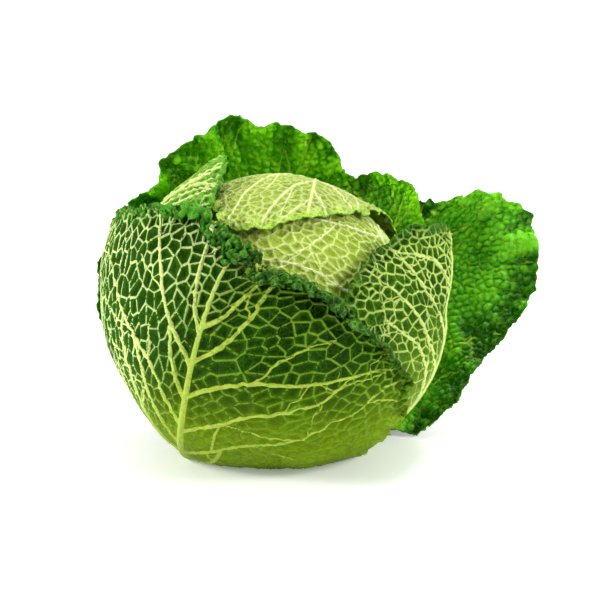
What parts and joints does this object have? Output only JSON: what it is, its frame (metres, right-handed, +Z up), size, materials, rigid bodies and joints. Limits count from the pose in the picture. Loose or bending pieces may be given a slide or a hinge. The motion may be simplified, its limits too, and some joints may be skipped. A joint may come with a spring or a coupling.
{
  "type": "savoy cabbage",
  "caption": "Savoy cabbage with its outer leaves on: a round, tight pale head on a cut stem, wrapped in loose, crinkled dark green leaves; stands by itself.",
  "frame": {"origin": "on the table, under the middle of the flat spot pressed on the front leaf's underside, on which the cabbage rests", "axes": "+Z up; -Y towards the viewer of the front leaf; +X to the viewer's right, where the large flared leaf is"},
  "size_m": [0.2982, 0.2534, 0.2146],
  "materials": {
    "cut_stem": "pale, fibrous, dry at the cut",
    "tight_head": "waxy, smooth between raised cream veins",
    "head_leaf_front": "waxy, cream veins",
    "head_leaf_top": "waxy, cream veins, crinkled lower margin",
    "inner_leaf_left": "crinkled, satin, folded margin",
    "inner_leaf_back_right": "crinkled, satin",
    "outer_leaf_back": "blistered, satin, frilled margin",
    "outer_leaf_right": "satin, a raised pale vein net",
    "outer_leaf_front": "satin, a raised pale vein net, dark crinkled margin",
    "outer_leaf_left": "satin, a raised pale vein net",
    "outer_leaf_right_back": "blistered, satin, frilled margin"
  },
  "bodies": {
    "root": {"cut_stem": "cut_stem", "tight_head": "tight_head", "head_leaf_front": "head_leaf_front", "head_leaf_top": "head_leaf_top", "inner_leaf_left": "inner_leaf_left", "inner_leaf_back_right": "inner_leaf_back_right", "outer_leaf_back": "outer_leaf_back", "outer_leaf_right": "outer_leaf_right", "outer_leaf_front": "outer_leaf_front", "outer_leaf_left": "outer_leaf_left", "outer_leaf_right_back": "outer_leaf_right_back"}
  },
  "joints": []
}
